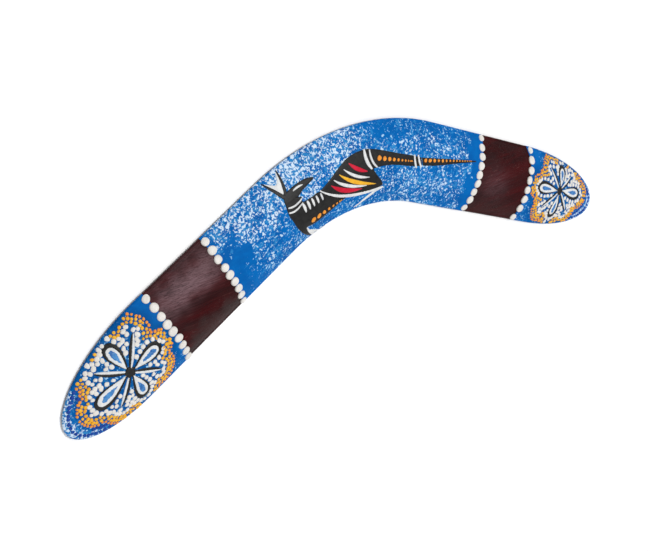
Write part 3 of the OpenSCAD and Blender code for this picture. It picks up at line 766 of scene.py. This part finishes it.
def figure_dots(start, run, big, small, count):
    """A row of dots that grow smaller and stand closer the further they run."""
    t = np.arange(count) / (count - 1)
    e = 1 - (1 - t) ** 1.45
    r = small + (big - small) * (1 - t) ** 1.5
    return list(zip(start[0] + run[0] * e, start[1] + run[1] * e, r))


HEAD = [(-51.2, 21.8), (-49.6, 24.6), (-46, 26.4), (-40, 28.3), (-34.5, 29), (-30.4, 28),
        (-34.5, 25.7), (-38.5, 23.8), (-41.6, 21.5), (-45.5, 19.8), (-50.4, 18.8)]
BODY = [(-50.6, 20), (-49.9, 13.4), (-47.4, 8.8), (-44.8, 4.4), (-41, 0), (-37, -3.2), (-31.6, -6),
        (-34.6, -2), (-37, 1.4), (-31.5, 1.8), (-25, 3.6), (-18, 6.4), (-11.5, 9.2), (-9, 10.6),
        (-14, 13), (-21, 16.2), (-28.2, 19.6), (-34, 18.4), (-39.8, 17.7), (-40.4, 20.6), (-46, 21)]
HAUNCH = [(-28, 19.9), (-24, 21.9), (-20, 24.2), (-16, 26.9), (-12, 29.4), (-8, 31.4), (-4, 32.6),
          (0, 33.2), (4, 33.3), (8, 33), (10.9, 21), (10.7, 20.2), (13.4, 16.2), (16.2, 12.6),
          (17.8, 9.6), (16, 8.7), (10, 8.5), (4, 8.6), (-2, 9), (-8, 9.9), (-14, 11.6), (-19, 13.9),
          (-24, 16.9)]
TAIL_ROOT = [(8, 33), (14, 31.2), (20, 28.8), (26, 26.2), (32, 23.6), (38, 21.2), (42, 19.5),
             (46.8, 17.2), (46.8, 12.1), (42, 13.3), (36, 15.2), (30, 17.5), (24, 19.4), (18, 20.6),
             (14, 21), (10.9, 21)]
TAIL_END = [(47, 17.1), (56, 14), (66, 10.7), (78, 6.7), (91.6, 2), (91.6, 1.3), (78, 4.6),
            (66, 7.1), (56, 9.4), (47.4, 12)]
EAR_FILL = [(-59, 31.6), (-55.8, 30.6), (-53.2, 30), (-51.7, 32), (-50.7, 36), (-50, 30),
            (-50.8, 24.2), (-54.5, 27.6)]
# thickness of the figure's first layer of paint
FIGURE_COAT = 0.2
# spacing of the mesh in small and in large shapes
FINE, COARSE = 0.36, 0.6
# height of a small raised dot
DOT_HIGH = 0.45


def figure_film(part, mat, slot, shapes, thick, step=FINE, **look):
    film(f"kangaroo_{part}", shapes, mat, slot, thick, step=step, wob=0.03, **look)


def black(part, *shapes, step=FINE, thick=0.23):
    """A black shape of the figure's first layer."""
    figure_film(part, BLACK, "black_paint", shapes, thick, step)


def white(part, *shapes, base=COAT + FIGURE_COAT, thick=0.2, sink=0.2):
    """White strokes, on the black unless another base is given."""
    figure_film(part, WHITE_F, "white_paint", shapes, thick, base=base, sink=sink)


def bright(part, mat, slot, *shapes):
    """Strokes of another colour on the black."""
    figure_film(part, mat, slot, shapes, 0.2, base=COAT + FIGURE_COAT)


def head():
    white("ear_fill", fig(catmull(EAR_FILL)), base=COAT, thick=0.16)
    black("ears",
          brush((-60.4, 32.2), (-56, 28.4), (-50.6, 23.2), 0.6, 2.2, 2.6),
          brush((-50.2, 36.6), (-49.0, 30), (-49.4, 24.4), 0.6, 2.2, 2),
          thick=0.21)
    black("head", fig(catmull(HEAD)), step=COARSE, thick=0.25)
    white("eye", brush((-44.6, 25), (-41.5, 26.6), (-38.2, 26.5), 0.6, 2, 0.4))


def trunk():
    black("body", fig(catmull(BODY)), step=COARSE, thick=0.22)
    black("haunch", fig(resample(np.array(HAUNCH), 1.0)), step=COARSE, thick=0.24)
    white("neck_bands",
          brush((-49.4, 17), (-45, 16.2), (-40.6, 19.4), 0.9, 1.4, 0.9),
          brush((-49.3, 14.3), (-45, 13.2), (-40.2, 17.2), 0.9, 1.4, 0.7))
    ribs = []
    for i in range(5):
        start, end = (-40.2 + 3.1 * i, 16.4 + 0.5 * i), (-38.4 + 3 * i, 11.4 + 0.8 * i)
        middle = (-38.9 + 3 * i, 14 + 0.6 * i)
        ribs.append(brush(start, middle, end, 1.2 - 0.08 * i, 2.5 - 0.2 * i, 0.8))
    white("rib_stripes", *ribs)


def limbs():
    # these two cross from the black on to the ground coat
    over = {"base": COAT + 0.08, "thick": 0.26, "sink": 0.25}
    white("forepaw",
          brush((-37.2, 1.3), (-34.5, -3), (-28.2, -6.6), 0.8, 2.6, 1.2),
          brush((-33.6, -1.6), (-29.5, -4.4), (-21.6, -5.8), 1.2, 2, 0.8),
          **over)
    bright("thigh_red", RED, "red_paint",
           lens((-6.6, 29.3), (-1.6, 23.6), (6.2, 20.9), 2.3),
           lens((-20.2, 20.6), (-12.6, 13.6), (2, 11.9), 2.6))
    white("thigh_white",
          lens((-10.6, 27), (-3.2, 19.4), (7.6, 17.1), 1.65),
          lens((-18.2, 23.2), (-10, 15.6), (5.6, 12.7), 1.75))
    bright("thigh_yellow", YELLOW, "yellow_paint",
           lens((-13.9, 24.9), (-5.4, 16.6), (12.4, 11.7), 2.2))
    white("leg_line", brush((-27.8, 19.9), (-12, 8), (17.6, 7.9), 0.8, 3.2, 1.2), **over)
    white("foot",
          brush((17.4, 7.9), (9, 6.9), (0.6, 1.2), 1.4, 1.8, 0.8),
          brush((12, 6), (6, 3.6), (-1.2, 1), 0.5, 1.2, 0.6),
          base=COAT, thick=0.24)


def tail():
    white("hip_bands",
          brush((5.9, 32.8), (5, 26.6), (9.2, 21.6), 1.4, 3.2, 1.1),
          brush((9.5, 31.9), (8.8, 25.6), (13, 21.5), 0.9, 2, 0.9))
    black("tail_root", fig(resample(np.array(TAIL_ROOT), 1.0)), step=COARSE)
    white("tail_bands",
          brush((41.7, 19.7), (41.2, 16), (42.2, 12.6), 1.2, 1.6, 1.2),
          brush((44.6, 18.8), (44.6, 15.5), (45.8, 12.2), 1.2, 1.6, 1.2))
    black("tail_end", fig(resample(np.array(TAIL_END), 0.8)))


def figure_beads(part, dots):
    spots = []
    for x, y, r in dots:
        place = fig([(x, y)])[0]
        spots.append((*place, r * (1 + 0.04 * rng.normal()), DOT_HIGH * (0.4 + 0.4 * r)))
    base = COAT + FIGURE_COAT
    beads(f"kangaroo_{part}", spots, ORANGE, "orange_paint", base, seg=18, lumpy=0.07)


def kangaroo():
    head()
    trunk()
    limbs()
    tail()
    figure_beads("belly_dots", figure_dots((-32.8, 4.7), (20, 5), 1.65, 0.45, 8))
    root_dots = figure_dots((15.4, 25.8), (23.8, -8.6), 1.55, 0.45, 10)
    end_dots = figure_dots((49.7, 14.5), (37.6, -11.3), 1.25, 0.32, 16)
    figure_beads("tail_dots", root_dots + end_dots)


# ---------------------------------------- the flowers and dots of the tips
FLOWER = {-1: np.array([166.5, 0.6]), 1: np.array([181, 0.8])}
PETALS = {-1: [(180, 20.5, 4.5), (-8, 24, 4.7), (88, 18.5, 4.3), (-89, 19.6, 4.4)],
          1: [(180, 24.5, 4.2), (0, 25, 4.3), (87, 16.4, 4.1), (-90, 18.4, 4.3)]}
SPIKES = {-1: [(134, 19.5), (41, 18), (-136, 18.5), (-43, 19)],
          1: [(133, 18), (41, 16), (-137, 19), (-41, 18.5)]}
SPIKE_HALF_W, SPIKE_LEAN = 1.4, 0.35
# the middle disc, and how far out from it the spikes begin
DISC_R, SPIKE_START = 2.9, 2.4
# where an outline's outer edge, its inner edge and the white under it begin
PETAL_START, INNER_START, WHITE_START = 1.2, 2.4, 2.1


def bulge(w, f):
    """Half the width of a teardrop at the turn f; w is about its greatest."""
    return w * 1.42 * np.sin(f) * np.abs(np.sin(f / 2)) ** 1.5


def tear_w(length, w, s):
    """Half the width of a teardrop at the distance s from its point."""
    return bulge(w, np.arccos(np.clip(1 - 2 * s / length, -1, 1)))


def teardrop(start, end, w, side_step=0.0):
    f = np.linspace(0, 2 * math.pi, 72, endpoint=False)
    return np.stack([start + (end - start) * (1 - np.cos(f)) / 2, bulge(w, f) + side_step], -1)


def turned(p, degrees):
    c, s = math.cos(math.radians(degrees)), math.sin(math.radians(degrees))
    p = np.asarray(p, float)
    return np.stack([p[..., 0] * c - p[..., 1] * s, p[..., 0] * s + p[..., 1] * c], -1)


def on_arm(side, local, degrees=0.0):
    """Places given from the middle of an arm's flower, turned by some degrees, as x, y."""
    q = turned(local, degrees) + FLOWER[side]
    return plan(side, q[..., 0], q[..., 1])


def flower_film(side, part, mat, slot, shapes, thick, **look):
    film(f"{SIDE_WORD[side]}_{part}", shapes, mat, slot, thick, **look)


def petals(side):
    """White teardrops with a blue fill; outlines are broader at the outer end and on one side."""
    outlines, whites, fills = [], [], []
    for (way, length, w), step in zip(PETALS[side], (0.3, 0.4, -0.3, -0.3), strict=True):
        outer = teardrop(PETAL_START, length, w)
        inner = teardrop(INNER_START, length - 2.3, w - 1.6, step)
        white_part = teardrop(WHITE_START, length - 1.8, w - 1.25, step)
        fill = teardrop(length * 0.32, length * 0.82, w * 0.38, step)
        outlines.append([on_arm(side, outer, way), on_arm(side, inner, way)])
        whites.append(on_arm(side, white_part, way))
        fills.append(on_arm(side, fill, way))
    return outlines, whites, fills


def spikes(side):
    """White spikes with a black edge along one side."""
    whites, edges = [], []
    for way, long in SPIKES[side]:
        white_part = [(SPIKE_START, 0.6), (long * 0.4, 1.05), (long * 0.75, 0.95), (long, 0.1),
                      (long * 0.75, -0.4), (long * 0.4, -0.4), (SPIKE_START, -0.2)]
        edge = [(SPIKE_START, -0.1), (long * 0.5, -0.2), (long * 0.8, -0.2), (long, 0),
                (long * 0.85, -1.25), (long * 0.5, -1.85), (SPIKE_START, -0.9)]
        whites.append(on_arm(side, catmull(white_part, 4), way))
        edges.append(on_arm(side, catmull(edge, 4), way))
    return whites, edges


def disc(side):
    angle = np.linspace(0, 2 * math.pi, 40, endpoint=False)
    r = DISC_R + 0.25 * np.sin(5 * angle + side)
    return on_arm(side, np.stack([np.cos(angle), np.sin(angle)], -1) * r[:, None])


def flowers():
    for side in (-1, 1):
        outlines, whites, fills = petals(side)
        spike_whites, edges = spikes(side)
        flower_film(side, "petals", WHITE_F, "white_paint", whites, 0.2)
        flower_film(side, "petal_fills", FILL, "blue_paint", fills, 0.14, base=COAT + 0.13, wob=0.25)
        flower_film(side, "spikes", WHITE_F, "white_paint", spike_whites, 0.22, step=0.45)
        flower_film(side, "spike_edges", BLACK, "black_paint", edges, 0.24, step=0.45)
        flower_film(side, "petal_outlines", BLACK, "black_paint", outlines, 0.28, step=0.45)
        flower_film(side, "flower_centre", BLACK, "black_paint", [disc(side)], 0.32)


def flower_gap(side, q):
    """How far places are from the petals, the spikes and the middle of their flower."""
    gap = np.hypot(q[..., 0], q[..., 1]) - DISC_R
    for way, length, w in PETALS[side]:
        p = turned(q, -way)
        s = np.clip(p[..., 0], 0, length)
        wide = np.maximum(0, np.abs(p[..., 1]) - tear_w(length, w, s))
        gap = np.minimum(gap, np.hypot(p[..., 0] - s, wide))
    for way, length in SPIKES[side]:
        p = turned(q, -way)
        wide = np.maximum(0, np.abs(p[..., 1] + SPIKE_LEAN) - SPIKE_HALF_W)
        gap = np.minimum(gap, np.hypot(p[..., 0] - np.clip(p[..., 0], 1, length), wide))
    return gap


# dots end at least this far inside the blade's edge
DOT_MARGIN = 0.45
# dots keep this far from the middle of the big dots across the arm
ROW_CLEAR = 3.7
# how far from the flower the contours of dots run, and how far out the white ones may lie
WHITE_RING, WHITE_LIMIT = 3.55, 3.6
YELLOW_RINGS = (5.6, 7.45)
ORANGE_RING = 9.15
# the rows of blue dots along the rim, and how near to the flower they may come
RIM_ROWS = (22.4, 20.6, 18.8, 17)
RIM_TURN = (-64, 46)
BLUE_LIMIT = 10.8
# the search for a contour begins this far out, beyond all dots
FAR = 45.0
# dots of each colour: the radius of the room each one gets, and its own usual radius
WHITE_DOT, YELLOW_DOT, ORANGE_DOT, BLUE_DOT = (1.0, 1.2), (0.85, 0.84), (0.75, 0.72), (0.85, 1.0)


def room(side, q, r):
    """Whether a dot of radius r would lie wholly on the blade."""
    u, v = FLOWER[side] + q
    e = math.copysign(r, v)
    tests = [(u + r, v), (u, v + e), (u + 0.7 * r, v + 0.7 * e)]
    return all(reach_of(side, a, b, COAT) < HALF_W - DOT_MARGIN for a, b in tests)


def apart(points, gap):
    """The places in order, without those too close to one already kept."""
    kept = []
    for q in points:
        if all(np.hypot(*(q - k)) >= gap for k in kept):
            kept.append(q)
    return kept


def drawn_in(ray):
    """The rings lie closer to the flower towards the elbow, where the row leaves less space."""
    return 2.1 * ((1 - ray[..., 0] / np.hypot(ray[..., 0], ray[..., 1])) / 2) ** 4


def contour(side, gap):
    """Places at one distance round the flower, found from outside."""
    d = np.radians(np.arange(0, 360, 1.0))
    ray = np.stack([np.cos(d), np.sin(d)], -1)
    wanted = gap - drawn_in(ray)
    r = np.full(len(d), FAR)
    for _ in range(14):
        r -= 0.9 * (flower_gap(side, r[:, None] * ray) - wanted)
    return list(r[:, None] * ray)


def rim(side, out):
    """Places along the rim of an arm end; out is how far they lie from the middle line."""
    d = np.radians(np.arange(RIM_TURN[0], RIM_TURN[1] + 0.1, 2))
    v = out * np.sin(d)
    u = TIP_U + LEAN[side] * v + out * np.cos(d) * TIP_L[side] / HALF_W
    return list(np.stack([u, v], -1) - FLOWER[side])


def clear(side, points, r):
    """Those of the places that have room for a dot and are clear of the row and each other."""
    end = OUTER_ROW[side] + ROW_CLEAR
    ok = [q for q in points if room(side, q, r) and FLOWER[side][0] + q[0] > end]
    return apart(ok, 2 * r + 0.1)


def beside_petals(side, r):
    points = []
    for way, length, w in PETALS[side]:
        for share in (1.02, 0.9, 0.76, 0.62, 0.48, 0.34):
            out = tear_w(length, w, min(1, share) * length) + r + 0.35
            along = length * share + (0.9 if share > 1 else 0)
            points += [turned([along, -out], way), turned([along, out], way)]
    return points


def beside_spikes(side):
    points = []
    for way, length in SPIKES[side]:
        for s in np.arange(length + 1.4, 5, -2.35):
            for e in (-1, 1):
                points.append(turned([s, 0 if s > length else e * 2.5 - SPIKE_LEAN], way))
    return points


def round_rings():
    """Places on rings round the flower, from outside in, which fill what the others leave."""
    points = []
    for b in np.arange(22.4, 5.9, -1.2):
        for d in np.radians(np.arange(0, 360, 5)):
            points.append(np.array([b * math.cos(d) * 1.08, b * math.sin(d)]))
    return points


def white_spots(side, r):
    points = beside_petals(side, r) + beside_spikes(side)
    points += contour(side, WHITE_RING) + round_rings()
    ok = [q for q in points if r + 0.1 < flower_gap(side, q) < WHITE_LIMIT - drawn_in(q)]
    return clear(side, ok, r)


def coloured_spots(side, gaps, r):
    return clear(side, [q for gap in gaps for q in contour(side, gap)], r)


def blue_spots(side, r):
    rows = [q for out in RIM_ROWS for q in rim(side, out)]
    return clear(side, [q for q in rows if flower_gap(side, q) > BLUE_LIMIT], r)


def dotted(side, part, spots, r, mat, slot, swell=1.0):
    """Raised dots of uneven size and place; swell makes those nearer the inside edge bigger."""
    out = []
    for q in spots:
        big = r * (1.06 + 0.1 * rng.normal()) * (swell if q[1] < 2 else 1)
        x, y = on_arm(side, q + rng.normal(size=2) * 0.12)
        out.append((x, y, max(0.5 * r, big), DOT_HIGH * (1 + 0.12 * rng.normal())))
    name = f"{SIDE_WORD[side]}_{part}"
    beads(name, out, mat, slot, seg=14, lumpy=0.09, steps=(1, 0.95, 0.76, 0.42))


def tip_dots():
    for side in (-1, 1):
        room_r, r = WHITE_DOT
        dotted(side, "white_dots", white_spots(side, room_r), r, WHITE, "white_paint")
        room_r, r = YELLOW_DOT
        spots = coloured_spots(side, YELLOW_RINGS, room_r)
        dotted(side, "yellow_dots", spots, r, YELLOW, "yellow_paint", swell=1.1)
        room_r, r = ORANGE_DOT
        spots = coloured_spots(side, (ORANGE_RING,), room_r)
        dotted(side, "orange_dots", spots, r, ORANGE, "orange_paint")
        room_r, r = BLUE_DOT
        dotted(side, "blue_dots", blue_spots(side, room_r), r, DEEP, "deep_blue_paint")


blade()
coats()
dot_rows()
kangaroo()
flowers()
tip_dots()


# ---------------------------------------- floor, light and camera
def floor():
    under = (0, 0, -0.0001)
    bpy.ops.mesh.primitive_grid_add(x_subdivisions=4, y_subdivisions=4, size=6, location=under)
    ob = bpy.context.object
    ob.name = "floor"
    m = Nodes("floor_paper")
    tone = m.mix(m.noise(0.01, 2), lin(250, 250, 250), lin(253, 253, 253))
    ob.data.materials.append(m.finish(tone, 0.8, None, spec=0.2))


def area_light(name, at, size, watts):
    """A round soft light at a place in metres, turned towards the boomerang."""
    data = bpy.data.lights.new(name, "AREA")
    data.shape = "DISK"
    data.size, data.energy = size, watts
    ob = bpy.data.objects.new(name, data)
    bpy.context.scene.collection.objects.link(ob)
    ob.location = at
    ob.rotation_euler = (-Vector(at)).to_track_quat("-Z", "Y").to_euler()


floor()
area_light("key", (0.32, 0.24, 1.55), 0.62, 15)
area_light("fill", (-0.5, -1.3, 1.2), 1.6, 10)
area_light("back", (0.3, 1.4, 1.1), 1.6, 6.5)
world = bpy.data.worlds.new("studio")
world.use_nodes = True
world.node_tree.nodes["Background"].inputs["Color"].default_value = (1, 1, 1, 1)
world.node_tree.nodes["Background"].inputs["Strength"].default_value = 0.38
bpy.context.scene.world = world
bpy.context.scene.view_settings.view_transform = "Standard"

camera = bpy.data.cameras.new("camera")
camera.sensor_width = 36
camera.lens = 60.87
camera.clip_start = 0.01
cam = bpy.data.objects.new("camera", camera)
bpy.context.scene.collection.objects.link(cam)
# the camera's place from the middle of the elbow, and its turns about its own axes in radians
CAM_PLACE = (-361.697, 193.334, 445.969)
CAM_X, CAM_Y, CAM_Z = 0.41929, 0.64837, 0.11056
cam_turn = Matrix.Rotation(-CAM_Y, 3, "Y")
cam_turn @= Matrix.Rotation(-CAM_X, 3, "X")
cam_turn @= Matrix.Rotation(-CAM_Z, 3, "Z")
cam_place = (Vector((CX, CY, 0)) + Vector(CAM_PLACE)) * 0.001
cam.matrix_world = Matrix.Translation(cam_place) @ cam_turn.to_4x4()
bpy.context.scene.camera = cam
